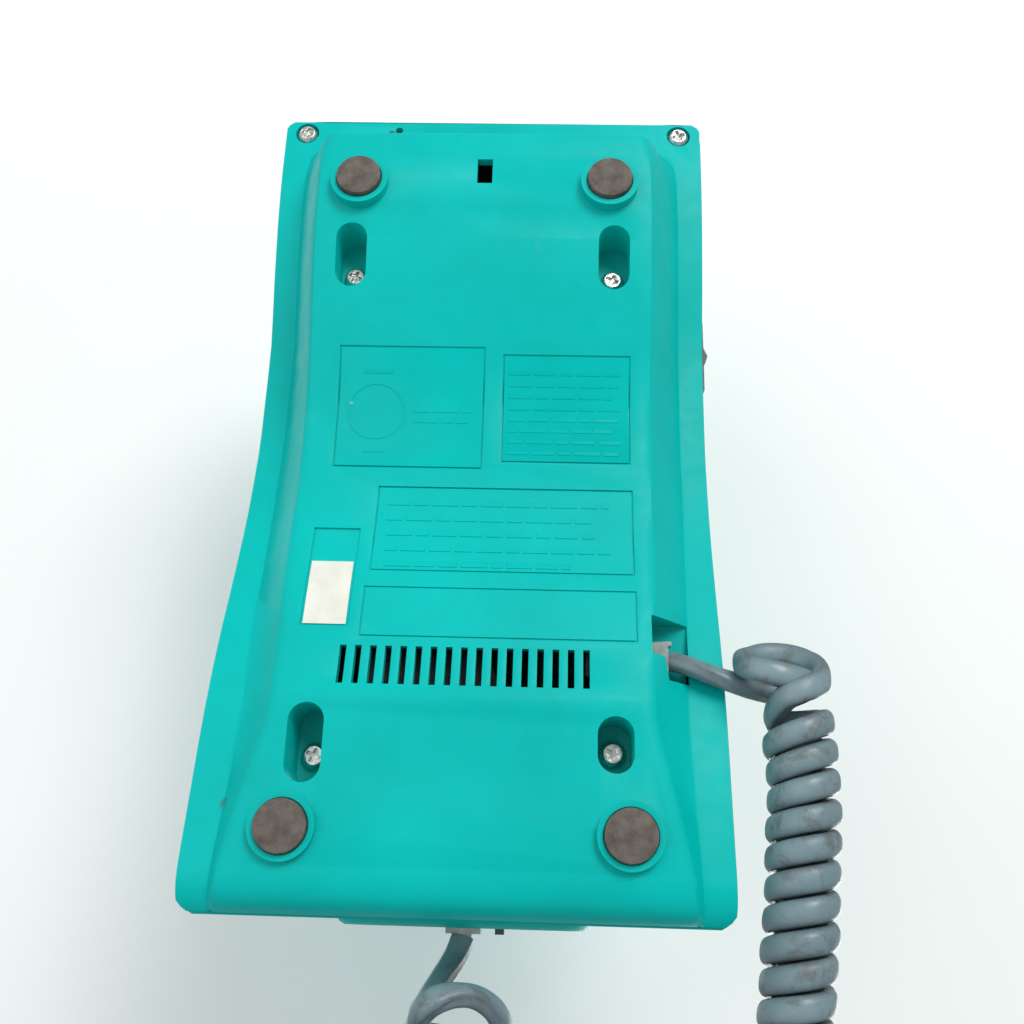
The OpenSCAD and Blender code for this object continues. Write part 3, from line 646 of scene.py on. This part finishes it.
def legend(key, text, size, dy=0.0, tag=""):
    """A printed legend on the outer face of one key, riding that key."""
    vs = [v.co for v in N[key].data.vertices]
    cx = (min(v.x for v in vs) + max(v.x for v in vs)) / 2
    cy = (min(v.y for v in vs) + max(v.y for v in vs)) / 2
    zz = min(v.z for v in vs)
    cu = bpy.data.curves.new(key + "_legend" + tag, "FONT")
    cu.body = text
    cu.size = size
    cu.align_x = "CENTER"
    cu.align_y = "CENTER"
    cu.extrude = 0.00003
    tmp = bpy.data.objects.new("tmp_legend", cu)
    SC.collection.objects.link(tmp)
    me = bpy.data.meshes.new_from_object(tmp.evaluated_get(bpy.context.evaluated_depsgraph_get()))
    bpy.data.objects.remove(tmp)
    me.transform(Matrix(((-1, 0, 0, cx), (0, 1, 0, cy + dy), (0, 0, -1, zz - 0.00001), (0, 0, 0, 1))))
    me.name = key + "_legend" + tag
    return link(key + "_legend" + tag, me, KEYBODY[key], M["ink"], smooth=False)


KEYBODY = {n: b for b, ns in frame["record"]["behaviour"]["bodies"].items() for n in ns}
for k, big, small in (("1", "1", ""), ("2", "2", "ABC"), ("3", "3", "DEF"), ("4", "4", "GHI"), ("5", "5", "JKL"), ("6", "6", "MNO"),
                      ("7", "7", "PRS"), ("8", "8", "TUV"), ("9", "9", "WXY"), ("star", "*", ""), ("0", "0", "OPER"), ("hash", "#", "")):
    legend("key_" + k, big, 0.0046, -0.0009 if small else 0.0)
    if small:
        legend("key_" + k, small, 0.0019, 0.0024, "_small")
legend("key_redial", "REDIAL", 0.0019)
legend("key_flash", "FLASH", 0.0019)

# ---------------------------------------------------------------- stage and lights
def one_sided(name, col, z, size, up, cy=0.0):
    me = bpy.data.meshes.new(name)
    s = size / 2
    v = [(-s, -s + cy, z), (s, -s + cy, z), (s, s + cy, z), (-s, s + cy, z)]
    me.from_pydata(v, [], [(0, 1, 2, 3) if up else (3, 2, 1, 0)])
    me.update()
    g = G(name + "_mat")
    n1 = g.noise(3.0, 4, 0.6)
    n2 = g.noise(60, 4, 0.6)
    c = g.mix(g.rng(n1, 0.3, 0.7), col, tuple(min(1, x * 1.03) for x in col))
    c = g.mix(g.rng(n2, 0.66, 0.8, 0, 0.06), c, tuple(x * 0.8 for x in col))
    g.l(c, g.b.inputs["Base Color"])
    g.b.inputs["Roughness"].default_value = 0.6
    g.b.inputs["Specular IOR Level"].default_value = 0.2
    out = g.t.nodes["Material Output"]
    geo = g.n("ShaderNodeNewGeometry")
    lp = g.n("ShaderNodeLightPath")
    tr = g.n("ShaderNodeBsdfTransparent")
    mx = g.n("ShaderNodeMixShader")
    front = g.math("SUBTRACT", 1.0, geo.outputs["Backfacing"])
    g.l(g.math("MULTIPLY", front, lp.outputs["Is Camera Ray"]), mx.inputs[0])
    g.l(tr.outputs[0], mx.inputs[1])
    g.l(g.b.outputs[0], mx.inputs[2])
    g.l(mx.outputs[0], out.inputs["Surface"])
    ob = bpy.data.objects.new(name, me)
    SC.collection.objects.link(ob)
    me.materials.append(g.m)
    return ob


one_sided("studio_floor", (0.84, 0.86, 0.85), -0.0002, 8.0, True)
one_sided("studio_table", (0.965, 0.975, 0.97), 0.1425, 1.3, False)

world = bpy.data.worlds.new("studio")
SC.world = world
world.use_nodes = True
bg = world.node_tree.nodes["Background"]
bg.inputs["Color"].default_value = (0.90, 0.94, 0.94, 1)
bg.inputs["Strength"].default_value = 0.50


def area(name, loc, target, size, power, col=(1, 1, 1), size_y=None):
    ld = bpy.data.lights.new(name, "AREA")
    ld.energy = power
    ld.color = col
    ld.shape = "RECTANGLE" if size_y else "SQUARE"
    ld.size = size
    if size_y:
        ld.size_y = size_y
    o = bpy.data.objects.new(name, ld)
    o.location = loc
    o.rotation_euler = (Vector(target) - Vector(loc)).to_track_quat("-Z", "Y").to_euler()
    SC.collection.objects.link(o)
    return o


area("key_below", (-0.42, 0.55, -0.90), (0, 0, 0.02), 0.55, 8.4, (1.0, 0.99, 0.97))
area("fill_below", (0.55, 0.10, -0.80), (0, 0, 0.02), 0.9, 2.6, (0.95, 0.98, 1.0))
area("key_above", (-0.55, -0.45, 1.05), (0, 0, 0.04), 0.7, 8.0, (1.0, 0.99, 0.97))
area("fill_above", (0.75, 0.35, 0.85), (0, 0, 0.04), 0.9, 4.0, (0.95, 0.98, 1.0))

try:
    SC.view_settings.view_transform = "Standard"
except TypeError:
    pass
